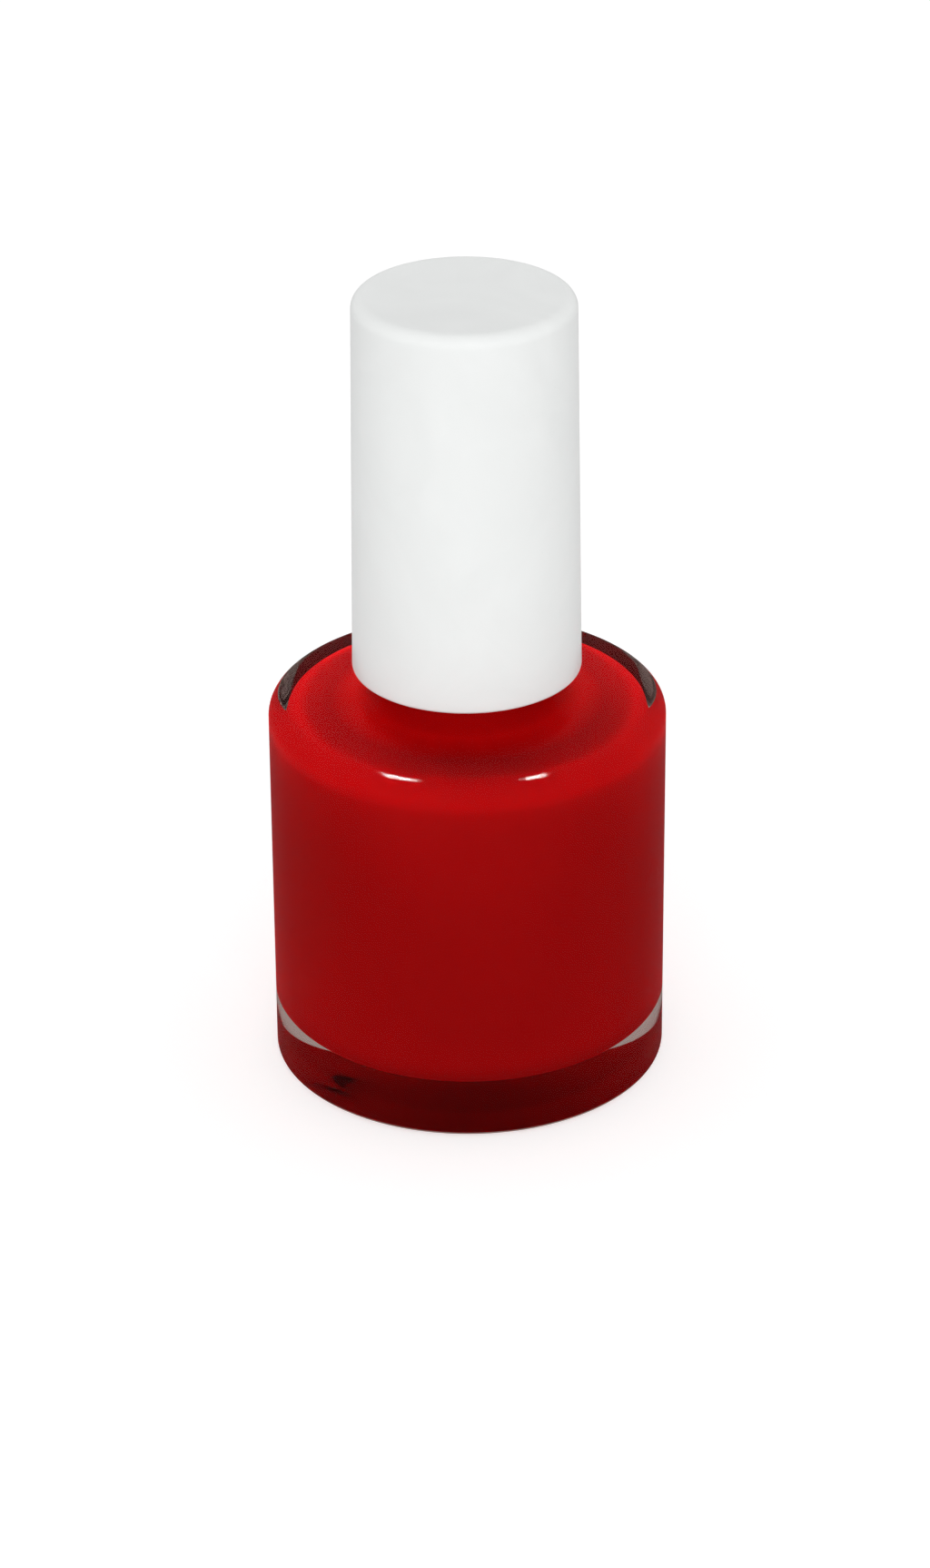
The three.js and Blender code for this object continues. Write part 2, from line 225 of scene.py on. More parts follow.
def effect_group(name, inputs, outputs):
    """An empty shader node group with those number inputs and outputs, and its two end nodes."""
    group = bpy.data.node_groups.new(name, "ShaderNodeTree")
    for label, value in inputs.items():
        socket = group.interface.new_socket(label, in_out="INPUT", socket_type="NodeSocketFloat")
        socket.default_value = value
    for label in outputs:
        group.interface.new_socket(label, in_out="OUTPUT", socket_type="NodeSocketFloat")
    return group, group.nodes.new("NodeGroupInput"), group.nodes.new("NodeGroupOutput")


def chained(tree, kind, feeds=None, settings=None):
    """A new node with its inputs linked or set by name or number, and its properties set."""
    node = tree.nodes.new(kind)
    for name, value in (settings or {}).items():
        setattr(node, name, value)
    for socket, value in (feeds or {}).items():
        if isinstance(value, bpy.types.NodeSocket):
            tree.links.new(value, node.inputs[socket])
        else:
            node.inputs[socket].default_value = value
    return node


def object_place(tree):
    """The place on the piece, in metres."""
    return chained(tree, "ShaderNodeTexCoord").outputs["Object"]


def height_of(tree, place):
    return chained(tree, "ShaderNodeSeparateXYZ", {"Vector": place}).outputs["Z"]


def noise(tree, place, scale, detail, distortion=0):
    """Cloudy values round 0.5."""
    feeds = {"Vector": place, "Scale": scale, "Detail": detail, "Distortion": distortion}
    return chained(tree, "ShaderNodeTexNoise", feeds).outputs["Fac"]


def ranged(tree, value, start, end, low, high, interpolation="LINEAR"):
    """A value carried from one range into another, held at its ends."""
    feeds = {"Value": value, "From Min": start, "From Max": end, "To Min": low, "To Max": high}
    settings = {"interpolation_type": interpolation}
    return chained(tree, "ShaderNodeMapRange", feeds, settings).outputs["Result"]


def worked(tree, operation, first, second=0.0):
    """The result of a Math node."""
    return chained(tree, "ShaderNodeMath", {0: first, 1: second}, {"operation": operation}).outputs["Value"]


def blended(tree, factor, first, second):
    """A colour between two colours."""
    factor_input, first_input, second_input, colour_output = 0, 6, 7, 2
    feeds = {factor_input: factor, first_input: first, second_input: second}
    return chained(tree, "ShaderNodeMix", feeds, {"data_type": "RGBA"}).outputs[colour_output]


def bumped(tree, height, strength, distance, **feeds):
    """The normal of a surface with that relief."""
    feeds.update({"Height": height, "Strength": strength, "Distance": distance})
    return chained(tree, "ShaderNodeBump", feeds).outputs["Normal"]


# Handling marks: soft smudges from fingers and a scatter of fine dust, from 0 (clean) to 1.
marks_group, ends_in, ends_out = effect_group(
    "handling_marks", {"Smudge Scale": 90, "Dust Scale": 1500, "Dust Cover": 0.03}, ["Smudge", "Dust"]
)
place = object_place(marks_group)
smudge = noise(marks_group, place, ends_in.outputs["Smudge Scale"], 5, 0.6)
soft = ranged(marks_group, smudge, 0.48, 0.72, 0, 1, "SMOOTHSTEP")
feeds = {"Vector": place, "Scale": ends_in.outputs["Dust Scale"], "Randomness": 1}
dust = chained(marks_group, "ShaderNodeTexVoronoi", feeds).outputs["Distance"]
specks = worked(marks_group, "LESS_THAN", dust, ends_in.outputs["Dust Cover"])
marks_group.links.new(soft, ends_out.inputs["Smudge"])
marks_group.links.new(specks, ends_out.inputs["Dust"])


def new_material(name):
    """A material with a node tree, and its Principled shader."""
    material = bpy.data.materials.new(name)
    material.use_nodes = True
    return material, material.node_tree, material.node_tree.nodes["Principled BSDF"]


def placed_group(tree, group, **values):
    """A node group placed in a material, with its inputs set by name."""
    node = chained(tree, "ShaderNodeGroup", settings={"node_tree": group})
    for label, value in values.items():
        node.inputs[label.replace("_", " ")].default_value = value
    return node


def mixed(tree, factor, first, second):
    """A shader between two shaders."""
    return chained(tree, "ShaderNodeMixShader", {0: factor, 1: first, 2: second}).outputs["Shader"]


# The glass mirrors weakly, so that the lacquer behind it keeps its colour up to the edges, and it darkens
# where light goes a long way through it. The two halves of the mould leave a faint seam up each side.
glass_ior = 1.52
mirror_share = 0.09  # of the mirroring that plain glass would have
low_mirror = 6 * MM  # from here down the glass mirrors the most from inside, and from here up the least
high_mirror = 20 * MM
clear_glass, tree, shader = new_material("clear_glass")
shader.inputs["Base Color"].default_value = linear(252, 254, 253)
shader.inputs["Transmission Weight"].default_value = 1
shader.inputs["IOR"].default_value = glass_ior
marks = placed_group(tree, marks_group, Smudge_Scale=70, Dust_Scale=1400, Dust_Cover=0.02)
inside = chained(tree, "ShaderNodeNewGeometry").outputs["Backfacing"]
facing_out = worked(tree, "SUBTRACT", 1.0, inside)
gloss = ranged(tree, worked(tree, "MULTIPLY", marks.outputs["Smudge"], facing_out), 0, 1, 0.0, 0.03)
tree.links.new(gloss, shader.inputs["Roughness"])
place = object_place(tree)
waviness = noise(tree, place, 120, 1)
across = worked(tree, "ABSOLUTE", chained(tree, "ShaderNodeSeparateXYZ", {"Vector": place}).outputs["Y"])
seam = ranged(tree, across, 0.03 * MM, 0.12 * MM, 0.6, 0)
ripple = bumped(tree, worked(tree, "ADD", waviness, seam), 0.01, 0.4 * MM)
tree.links.new(ripple, shader.inputs["Normal"])
feeds = {"IOR": glass_ior, "Roughness": gloss, "Normal": ripple}
bending = chained(tree, "ShaderNodeBsdfRefraction", feeds)
by_height = ranged(tree, height_of(tree, place), low_mirror, high_mirror, 0.95, 0.3)
turned_back = worked(tree, "MULTIPLY", inside, by_height)
clear = mixed(tree, turned_back, bending.outputs["BSDF"], shader.outputs["BSDF"])
feeds = {"Roughness": 0.1, "Normal": ripple}
mirror = chained(tree, "ShaderNodeBsdfAnisotropic", feeds, {"distribution": "BECKMANN"})
fresnel = chained(tree, "ShaderNodeFresnel", {"IOR": glass_ior}).outputs["Fac"]
sheen = worked(tree, "MULTIPLY", worked(tree, "MULTIPLY", fresnel, mirror_share), facing_out)
body_glass = mixed(tree, sheen, clear, mirror.outputs["BSDF"])
shadow_rays = chained(tree, "ShaderNodeLightPath").outputs["Is Shadow Ray"]
see_through = chained(tree, "ShaderNodeBsdfTransparent", {"Color": (0.9, 0.9, 0.9, 1)})
shade = mixed(tree, shadow_rays, body_glass, see_through.outputs["BSDF"])
smoke = chained(tree, "ShaderNodeVolumeAbsorption", {"Color": linear(196, 176, 170), "Density": 95})
tree.links.new(shade, tree.nodes["Material Output"].inputs["Surface"])
tree.links.new(smoke.outputs["Volume"], tree.nodes["Material Output"].inputs["Volume"])
glass_bottle.data.materials.append(clear_glass)
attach(glass_bottle, "bottle")
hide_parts("bottle_glass")

# ---- Nail lacquer ----
# Opaque cream lacquer, deep red, which fills the bottle up to the neck and wets the glass all over.
# The brush hangs in the open well in its middle.

wetting = 0.02 * MM  # how far it reaches into the glass, so that no air shows between them
brush_way = 2.1 * MM
way_floor = 5.05 * MM
way_round = 0.5 * MM
fill_level = liquid_high.z
wet_radius = cavity_radius + wetting
wet_floor = cavity_floor - wetting
wet_floor_round = arc((wet_radius - floor_corner, wet_floor + floor_corner), floor_corner, -QUARTER, 0, 12)
wet_ceiling_round = arc(corner_centre, ceiling_corner + wetting, 0, QUARTER - shoulder_slope, 12)
wet_flare = arc(flare_centre, bore_flare - wetting, 3 * QUARTER - shoulder_slope, math.pi, 14)
film_top = 36.5 * MM
film_thickness = 0.2 * MM
film_half = (film_thickness + wetting) / 2
film_inside = bore_radius - film_thickness
meniscus = 0.6 * MM
film_edge = arc((bore_radius + wetting - film_half, film_top), film_half, 0, math.pi, 6)
film_root = arc((film_inside - meniscus, fill_level + meniscus), meniscus, 0, -QUARTER, 8)
lacquer_profile = [(0, wet_floor)]
lacquer_profile += straight((0, wet_floor), wet_floor_round[0], 12) + wet_floor_round
lacquer_profile += straight(wet_floor_round[-1], wet_ceiling_round[0], 40) + wet_ceiling_round
lacquer_profile += straight(wet_ceiling_round[-1], wet_flare[0], 14) + wet_flare
lacquer_profile += straight(wet_flare[-1], film_edge[0], 20) + film_edge
lacquer_profile += straight(film_edge[-1], film_root[0], 20) + film_root
lacquer_profile += [(brush_way, fill_level), (brush_way, way_floor + way_round)]
lacquer_profile += [(brush_way - way_round, way_floor), (0, way_floor)]


film_run_depth = 1.6 * MM


def film_runs(angle, r, z):
    """The film's upper edge is uneven, where the lacquer has run back down the bore."""
    climb = max(0, (z - fill_level) / (film_top - fill_level))
    runs = 0.5 * math.sin(3 * angle + 0.7) + 0.3 * math.sin(7 * angle + 2.1) + 0.2 * math.sin(13 * angle)
    return 0, film_run_depth * runs * climb * climb


red_lacquer = turned("red_lacquer", lacquer_profile, columns=192, relief=film_runs)


def carved(obj, tool, operation="DIFFERENCE", sharp=35):
    """Cuts the tool out of an object or joins it on, and deletes the tool."""
    step = obj.modifiers.new("carve", "BOOLEAN")
    step.object, step.operation, step.solver = tool, operation, "EXACT"
    bpy.context.view_layer.update()
    mesh = bpy.data.meshes.new_from_object(obj.evaluated_get(bpy.context.evaluated_depsgraph_get()))
    obj.modifiers.clear()
    obj.data = mesh
    mesh.name = obj.name
    mesh.shade_smooth()
    mesh.set_sharp_from_angle(angle=math.radians(sharp))
    bpy.data.objects.remove(tool)


def ball_mesh(name, centre, radius, divisions, coat=None):
    """A ball of even facets. Coat gives how thick what clings to it is, from a direction."""
    bm = bmesh.new()
    bmesh.ops.create_icosphere(bm, subdivisions=divisions, radius=radius)
    for vert in bm.verts:
        away = vert.co.normalized()
        vert.co = centre + away * (radius + (coat(away) if coat else 0))
    return finished(name, bm, 180)


pocket_gap = 0.04 * MM  # from each ball to the lacquer round it
ball_places = {}
for node in ("mixing_ball_1", "mixing_ball_2"):
    low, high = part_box(node)
    ball_places[node] = ((low + high) / 2, (high.z - low.z) / 2)
    centre, radius = ball_places[node]
    pocket = ball_mesh("pocket", centre, radius + pocket_gap, 5)
    carved(red_lacquer, pocket)

# Painted light and shade: under the shoulder the red is painted brighter towards the neck, where the cap
# casts its shade, and darker on the outer shoulder, where light from above falls.
cream_red, tree, shader = new_material("cream_red_lacquer")
place = object_place(tree)
swirl = noise(tree, place, 55, 3, 1.2)
pigment = blended(tree, swirl, linear(180, 8, 12), linear(190, 10, 14))
level = chained(tree, "ShaderNodeVectorMath", {0: place, 1: (1, 1, 0)}, {"operation": "MULTIPLY"})
level_place = level.outputs["Vector"]
from_axis = chained(tree, "ShaderNodeVectorMath", {0: level_place}, {"operation": "LENGTH"}).outputs["Value"]
towards_neck = ranged(tree, from_axis, 6.5 * MM, 9.5 * MM, 1, 0)
# Painted light: brighter red near the neck stands in for light under the cap; the darker red farther out is
# painted shade.
painted_shoulder_light = blended(tree, towards_neck, linear(168, 8, 12), linear(250, 13, 17))
under_shoulder = ranged(tree, height_of(tree, place), 24 * MM, 25 * MM, 0, 1)
off_corner = ranged(tree, from_axis, 11 * MM, 11.8 * MM, 1, 0)
painted_light_area = worked(tree, "MULTIPLY", under_shoulder, off_corner)
tree.links.new(blended(tree, painted_light_area, pigment, painted_shoulder_light), shader.inputs["Base Color"])
shader.inputs["Roughness"].default_value = 0.35
shader.inputs["Specular IOR Level"].default_value = 0.0
shader.inputs["Subsurface Weight"].default_value = 1
shader.inputs["Subsurface Radius"].default_value = (1, 0.15, 0.15)
shader.inputs["Subsurface Scale"].default_value = 5 * MM
red_lacquer.data.materials.clear()
red_lacquer.data.materials.append(cream_red)
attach(red_lacquer, "bottle")
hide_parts("nail_lacquer")

# ---- Mixing balls ----
# Two polished stainless steel balls that stir the lacquer when the bottle is shaken. They lie on the glass
# floor in the lacquer, which clings to them in a thin uneven film.

ball_film = 0.03 * MM


def clinging(away):
    """The film is thickest underneath, where it drains to."""
    ripple = math.sin(9 * away.x + 1.3) * math.sin(8 * away.y + 0.4) * math.sin(7 * away.z)
    return ball_film * (0.35 - 0.3 * away.z + 0.25 * ripple)


# Wet lacquer on a piece that dips into it: full cover below a level, breaking into runs just above it.
film_group, ends_in, ends_out = effect_group(
    "lacquer_film", {"Level": 0.03, "Run Length": 0.002, "Bare Share": 0.1}, ["Film", "Thickness"]
)
place = object_place(film_group)
runs = noise(film_group, place, 700, 2)
run_length = ends_in.outputs["Run Length"]
ragged = worked(film_group, "MULTIPLY", worked(film_group, "SUBTRACT", runs, 0.5), run_length)
edge = worked(film_group, "ADD", ends_in.outputs["Level"], worked(film_group, "MULTIPLY", ragged, 3))
below = worked(film_group, "LESS_THAN", height_of(film_group, place), edge)
patches = noise(film_group, place, 1600, 3)
bare = ends_in.outputs["Bare Share"]
wet = ranged(film_group, patches, bare, worked(film_group, "ADD", bare, 0.06), 0, 1, "SMOOTHSTEP")
film_group.links.new(worked(film_group, "MULTIPLY", below, wet), ends_out.inputs["Film"])
film_group.links.new(worked(film_group, "MULTIPLY", patches, below), ends_out.inputs["Thickness"])

WET_RED = linear(172, 9, 13)
steel, tree, shader = new_material("ball_steel")
film = placed_group(tree, film_group, Level=0.02, Run_Length=0.001, Bare_Share=0.3)
film_cover = film.outputs["Film"]
tree.links.new(blended(tree, film_cover, linear(196, 198, 200), WET_RED), shader.inputs["Base Color"])
tree.links.new(ranged(tree, film_cover, 0, 1, 0.95, 0), shader.inputs["Metallic"])
scratches = noise(tree, object_place(tree), 2500, 4)
tree.links.new(ranged(tree, scratches, 0.3, 0.7, 0.12, 0.3), shader.inputs["Roughness"])
tree.links.new(bumped(tree, film.outputs["Thickness"], 0.2, 0.05 * MM), shader.inputs["Normal"])

for node, (centre, radius) in ball_places.items():
    ball = ball_mesh(node.replace("mixing_ball", "steel_ball"), centre, radius, 5, clinging)
    ball.data.materials.append(steel)
    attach(ball, "bottle")
    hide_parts(node)

# ---- Sealing liner ----
# A die-cut washer of white polyethylene foam in the closure. It seals on the neck's rim, whose ring it takes
# a print of, and it turns with nothing: the screwing cap only presses on it.

liner_low, liner_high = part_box("sealing_liner")
liner_bore = 2.0 * MM
liner_edge = 0.12 * MM
print_depth = 0.04 * MM
print_fade = 0.4 * MM


def rim_print(angle, r, z):
    """The underside bulges past the rim's inner and outer edges."""
    if z > liner_low.z + liner_edge:
        return 0, 0
    outside = max(0, min(1, (r - neck_radius + rim_edge) / print_fade))
    inside = max(0, min(1, (bore_radius + rim_edge - r) / print_fade))
    free = max(outside, inside)
    return 0, -print_depth * free * free * (3 - 2 * free)


liner_corners = [
    (liner_bore, liner_low.z, math.pi),
    (liner_high.x, liner_low.z, -QUARTER),
    (liner_high.x, liner_high.z, 0),
    (liner_bore, liner_high.z, QUARTER),
]
liner_profile = []
for i, (r, z, start) in enumerate(liner_corners):
    centre_r = r + (liner_edge if r == liner_bore else -liner_edge)
    centre_z = z + (liner_edge if z == liner_low.z else -liner_edge)
    corner = arc((centre_r, centre_z), liner_edge, start, start + QUARTER, 5)
    if liner_profile:
        liner_profile += straight(liner_profile[-1], corner[0], 30 if i % 2 else 6)
    liner_profile += corner
liner_profile += straight(liner_profile[-1], liner_profile[0], 6)
foam_liner = turned("foam_liner", liner_profile, columns=144, closed=True, relief=rim_print, sharp=60)

foam, tree, shader = new_material("polyethylene_foam")
place = object_place(tree)
cells = chained(tree, "ShaderNodeTexVoronoi", {"Vector": place, "Scale": 5200}).outputs["Distance"]
foam_white = blended(tree, noise(tree, place, 400, 3), linear(240, 239, 232), linear(248, 247, 243))
tree.links.new(foam_white, shader.inputs["Base Color"])
tree.links.new(ranged(tree, cells, 0, 0.6, 0.85, 0.6), shader.inputs["Roughness"])
shader.inputs["Subsurface Weight"].default_value = 0.2
shader.inputs["Subsurface Radius"].default_value = (1, 1, 1)
shader.inputs["Subsurface Scale"].default_value = 0.4 * MM
tree.links.new(bumped(tree, cells, 0.35, 0.08 * MM), shader.inputs["Normal"])
foam_liner.data.materials.append(foam)
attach(foam_liner, "liner")
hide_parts("sealing_liner")

# ---- Inner closure ----
# The working half of the cap, moulded in polypropylene: a threaded skirt that screws down on the
# neck, a deck over the liner with eight notches for the shell's ribs, and a chimney into which the
# brush's stem snaps.

closure_low, closure_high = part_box("cap_inner_closure")
cap_draft = math.radians(0.7)
deck_under = liner_high.z + 0.05 * MM
deck_top = deck_under + 1.9 * MM
closure_bore = 6.55 * MM
closure_at_deck = 7.05 * MM
chimney_bore = 2.2 * MM
chimney_radius = 3.4 * MM
flange_recess = 4.7 * MM
recess_top = deck_under + 0.675 * MM
lead_in = 0.25 * MM
small_round = 0.12 * MM
chimney_fillet = 0.5 * MM
chimney_edge = 0.2 * MM
notch_width = 1.2 * MM
notch_depth = 1.1 * MM
notch_inner = 5.77 * MM
rib_count = 8
closure_thread_height = 0.32 * MM
closure_thread_width = 0.6 * MM
closure_thread_bottom = neck_thread_bottom - thread_pitch / 2
closure_thread = thread_relief(
    closure_thread_bottom, closure_thread_height, closure_thread_width, inward=True
)


def closure_radius(z):
    return closure_at_deck + (deck_top - z) * math.tan(cap_draft)


def closure_relief(angle, r, z):
    on_bore = abs(r - closure_bore) < 0.01 * MM and z < deck_under
    return (closure_thread(angle, r, z) if on_bore else 0, 0)


foot_radius = closure_radius(closure_low.z)
foot_centre = (foot_radius - small_round, closure_low.z + small_round)
outer_foot = arc(foot_centre, small_round, -QUARTER, 0, 5)
deck_edge = arc((closure_at_deck - small_round, deck_top - small_round), small_round, 0, QUARTER, 5)
root_centre = (chimney_radius + chimney_fillet, deck_top + chimney_fillet)
chimney_root = arc(root_centre, chimney_fillet, 3 * QUARTER, math.pi, 8)
lip_centre = (chimney_radius - chimney_edge, closure_high.z - chimney_edge)
chimney_lip = arc(lip_centre, chimney_edge, 0, QUARTER, 6)
mouth_centre = (chimney_bore + small_round, closure_high.z - small_round)
chimney_mouth = arc(mouth_centre, small_round, QUARTER, math.pi, 5)
closure_profile = outer_foot + straight(outer_foot[-1], deck_edge[0], 30) + deck_edge
closure_profile += straight(deck_edge[-1], chimney_root[0], 12) + chimney_root
closure_profile += straight(chimney_root[-1], chimney_lip[0], 8) + chimney_lip + chimney_mouth
closure_profile += straight(chimney_mouth[-1], (chimney_bore, recess_top), 10)
closure_profile += [(chimney_bore, recess_top), (flange_recess, recess_top)]
closure_profile += [(flange_recess, deck_under), (closure_bore, deck_under)]
closure_profile += straight((closure_bore, deck_under), (closure_bore, closure_low.z + lead_in), 110)
closure_profile += [(closure_bore, closure_low.z + lead_in), (closure_bore + lead_in / 2, closure_low.z)]
screw_closure = turned("screw_closure", closure_profile, columns=192, closed=True, relief=closure_relief)


def radial_blocks(name, count, inner, outer, width, bottom, top, bevel):
    """Like blocks set round Z, with their edges bevelled, in one mesh."""
    bm = bmesh.new()
    for i in range(count):
        size = Matrix.Diagonal((outer - inner, width, top - bottom, 1))
        shift = Matrix.Translation(((inner + outer) / 2, 0, (bottom + top) / 2))
        turn = Matrix.Rotation(math.tau * i / count, 4, "Z")
        bmesh.ops.create_cube(bm, size=1, matrix=turn @ shift @ size)
    if bevel:
        bmesh.ops.bevel(bm, geom=bm.edges, offset=bevel, segments=3, profile=0.5, affect="EDGES")
    return finished(name, bm)


notch_outer = closure_at_deck + MM
notch_bottom = deck_top - notch_depth
notch_top = deck_top + MM
notches = radial_blocks(
    "notches", rib_count, notch_inner, notch_outer, notch_width, notch_bottom, notch_top, 0.1 * MM
)
carved(screw_closure, notches)

# Moulded plastic: fine texture from the tool, and soft flow clouds where the melt cooled.
grain_group, ends_in, ends_out = effect_group(
    "moulding_grain", {"Texture Scale": 6000, "Flow Scale": 120}, ["Texture", "Flow"]
)
place = object_place(grain_group)
fine = noise(grain_group, place, ends_in.outputs["Texture Scale"], 2)
flow = noise(grain_group, place, ends_in.outputs["Flow Scale"], 3, 1.5)
grain_group.links.new(fine, ends_out.inputs["Texture"])
grain_group.links.new(flow, ends_out.inputs["Flow"])


def moulded_plastic(name, light, dark, smooth, rough, texture, depth):
    """A plastic whose colour and gloss drift with its flow, with handling marks and a fine texture."""
    material, tree, shader = new_material(name)
    grain = placed_group(tree, grain_group, Texture_Scale=texture, Flow_Scale=110)
    marks = placed_group(tree, marks_group, Smudge_Scale=110, Dust_Scale=1300, Dust_Cover=0.025)
    colour = blended(tree, ranged(tree, grain.outputs["Flow"], 0.35, 0.65, 0, 1), light, dark)
    dusty = worked(tree, "MULTIPLY", marks.outputs["Dust"], 0.35)
    tree.links.new(blended(tree, dusty, colour, linear(176, 172, 165)), shader.inputs["Base Color"])
    gloss = worked(tree, "MULTIPLY", marks.outputs["Smudge"], 0.05)
    grained = ranged(tree, grain.outputs["Flow"], 0.3, 0.7, smooth, rough)
    tree.links.new(worked(tree, "ADD", grained, gloss), shader.inputs["Roughness"])
    tree.links.new(bumped(tree, grain.outputs["Texture"], 0.25, depth), shader.inputs["Normal"])
    return material, tree, shader


closure_plastic, tree, shader = moulded_plastic(
    "closure_polypropylene", linear(236, 237, 233), linear(229, 231, 226), 0.34, 0.42, 5000, 0.02 * MM
)
shader.inputs["Subsurface Weight"].default_value = 0.15
shader.inputs["Subsurface Radius"].default_value = (1, 1, 1)
shader.inputs["Subsurface Scale"].default_value = 0.5 * MM
screw_closure.data.materials.clear()
screw_closure.data.materials.append(closure_plastic)
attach(screw_closure, "cap")
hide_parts("cap_inner_closure")

# ---- Brush stem ----
# A moulded rod. Its plug is pushed up through the closure's chimney until the bead snaps over the
# top, and its flange then lies against the deck. The lower end holds the tuft, and the lacquer coats
# it up to the fill level.

stem_low, stem_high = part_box("brush_stem")
flange_top = recess_top - 0.05 * MM
flange_bottom = flange_top - 0.65 * MM
flange_radius = stem_high.x
plug_radius = 2.1 * MM
stem_radius = 1.75 * MM
stem_end_radius = 1.45 * MM
bead_bottom = closure_high.z + 0.05 * MM
bead_radius = 2.35 * MM
tuft_hole = 0.95 * MM
tuft_hole_top = stem_low.z + 3.2 * MM
end_round = arc((stem_end_radius - 0.3 * MM, stem_low.z + 0.3 * MM), 0.3 * MM, -QUARTER, 0, 8)
hole_lip = arc((tuft_hole + 0.1 * MM, stem_low.z + 0.1 * MM), 0.1 * MM, math.pi, 3 * QUARTER, 5)
stem_root = arc((stem_radius + 0.2 * MM, flange_bottom - 0.2 * MM), 0.2 * MM, math.pi, QUARTER, 6)
flange_reach = flange_radius - small_round
flange_under = arc((flange_reach, flange_bottom + small_round), small_round, -QUARTER, 0, 5)
flange_over = arc((flange_reach, flange_top - small_round), small_round, 0, QUARTER, 5)
bead_lip = arc((bead_radius - 0.1 * MM, bead_bottom + 0.1 * MM), 0.1 * MM, -QUARTER, 0, 5)
plug_tip = arc((1.6 * MM, stem_high.z - 0.25 * MM), 0.25 * MM, 0, QUARTER, 6)
stem_profile = [(0, tuft_hole_top), (tuft_hole, tuft_hole_top)]
stem_profile += straight((tuft_hole, tuft_hole_top), hole_lip[0], 10) + hole_lip + end_round
stem_profile += straight(end_round[-1], stem_root[0], 60) + stem_root
stem_profile += straight(stem_root[-1], flange_under[0], 6) + flange_under + flange_over
stem_profile += [(plug_radius, flange_top), (plug_radius, bead_bottom)]
stem_profile += bead_lip + plug_tip + [(0, stem_high.z)]
brush_rod = turned("brush_rod", stem_profile, columns=96)

staple_low, staple_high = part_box("brush_staple")
staple_size = staple_high - staple_low
staple_centre = (staple_low + staple_high) / 2
staple_fit = 0.05 * MM
slot_size = [side + 2 * staple_fit for side in staple_size]
slot_place = Matrix.Translation(staple_centre) @ Matrix.Diagonal((*slot_size, 1))
bm = bmesh.new()
bmesh.ops.create_cube(bm, size=1, matrix=slot_place)
carved(brush_rod, finished("staple_slot", bm))

rod_plastic, tree, shader = moulded_plastic(
    "stem_polyethylene", linear(233, 235, 232), linear(226, 228, 225), 0.3, 0.38, 5200, 0.02 * MM
)
film = placed_group(tree, film_group, Level=fill_level + 0.3 * MM, Run_Length=2.5 * MM, Bare_Share=0.26)
plain = shader.inputs["Base Color"].links[0].from_socket
tree.links.new(blended(tree, film.outputs["Film"], plain, WET_RED), shader.inputs["Base Color"])
grained = shader.inputs["Roughness"].links[0].from_socket
wet_gloss = chained(tree, "ShaderNodeMix", {"Factor": film.outputs["Film"], 2: grained, 3: 0.12})
tree.links.new(wet_gloss.outputs["Result"], shader.inputs["Roughness"])
moulded = shader.inputs["Normal"].links[0].from_socket
runs = bumped(tree, film.outputs["Thickness"], 0.4, 0.15 * MM, Normal=moulded)
tree.links.new(runs, shader.inputs["Normal"])
brush_rod.data.materials.clear()
brush_rod.data.materials.append(rod_plastic)
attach(brush_rod, "cap")
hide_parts("brush_stem")

# ---- Staple ----
# A bit of flat brass wire, sheared off and driven into the stem's hole over the folded bristles.
# It bites into the plastic on both sides, and its sheared ends are slightly burred.

staple_place = Matrix.Translation(staple_centre) @ Matrix.Diagonal((*staple_size, 1))
bm = bmesh.new()
bmesh.ops.create_cube(bm, size=1, matrix=staple_place)
bmesh.ops.bevel(bm, geom=bm.edges, offset=0.05 * MM, segments=3, profile=0.5, affect="EDGES")
for vert in bm.verts:
    towards_end = abs(vert.co.x - staple_centre.x) / (staple_size.x / 2)
    vert.co.z -= 0.04 * MM * max(0, towards_end - 0.85) / 0.15 * (1 if vert.co.y > 0 else 0.3)
anchor_staple = finished("anchor_staple", bm, 60)
brass, tree, shader = new_material("drawn_brass")
place = object_place(tree)
stretched = chained(
    tree, "ShaderNodeVectorMath", {0: place, 1: (0.08, 1, 1)}, {"operation": "MULTIPLY"}
)
drawing = noise(tree, stretched.outputs["Vector"], 9000, 3)
patina = ranged(tree, noise(tree, place, 1500, 4), 0.45, 0.7, 0, 1)
brass_colour = blended(tree, patina, linear(214, 178, 104), linear(168, 128, 66))
tree.links.new(brass_colour, shader.inputs["Base Color"])
shader.inputs["Metallic"].default_value = 1
tree.links.new(ranged(tree, drawing, 0.3, 0.7, 0.2, 0.42), shader.inputs["Roughness"])
tree.links.new(bumped(tree, drawing, 0.3, 0.01 * MM), shader.inputs["Normal"])
anchor_staple.data.materials.append(brass)
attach(anchor_staple, "cap")
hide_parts("brush_staple")

# ---- Bristles ----
# Nylon filaments, each folded in two over the staple, so that both its legs hang out of the stem.
# They spread below it, draw together again and are trimmed to a dome. The lacquer wets them.

tuft_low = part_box("brush_bristles")[0]
filament_radius = 0.058 * MM
filament_sides = 6
hole_reach = 0.8 * MM  # from the axis to the outermost filaments in the hole
tuft_widest = 1.46 * MM
tuft_tip_radius = 0.98 * MM
widest_height = (tuft_low.z + stem_low.z) / 2
fold_level = staple_high.z + filament_radius
trim_dome = 0.95 * MM
fold_steps = 6
leg_steps = 22
dice = random.Random(11)


def tuft_reach(z):
    """How far the outermost filament lies from the axis at a height."""
    if z >= stem_low.z:
        return hole_reach
    if z > widest_height:
        t = (stem_low.z - z) / (stem_low.z - widest_height)
        return hole_reach + (tuft_widest - hole_reach) * math.sin(QUARTER * t) ** 1.5
    t = (widest_height - z) / (widest_height - tuft_low.z)
    return tuft_widest + (tuft_tip_radius - tuft_widest) * t * t


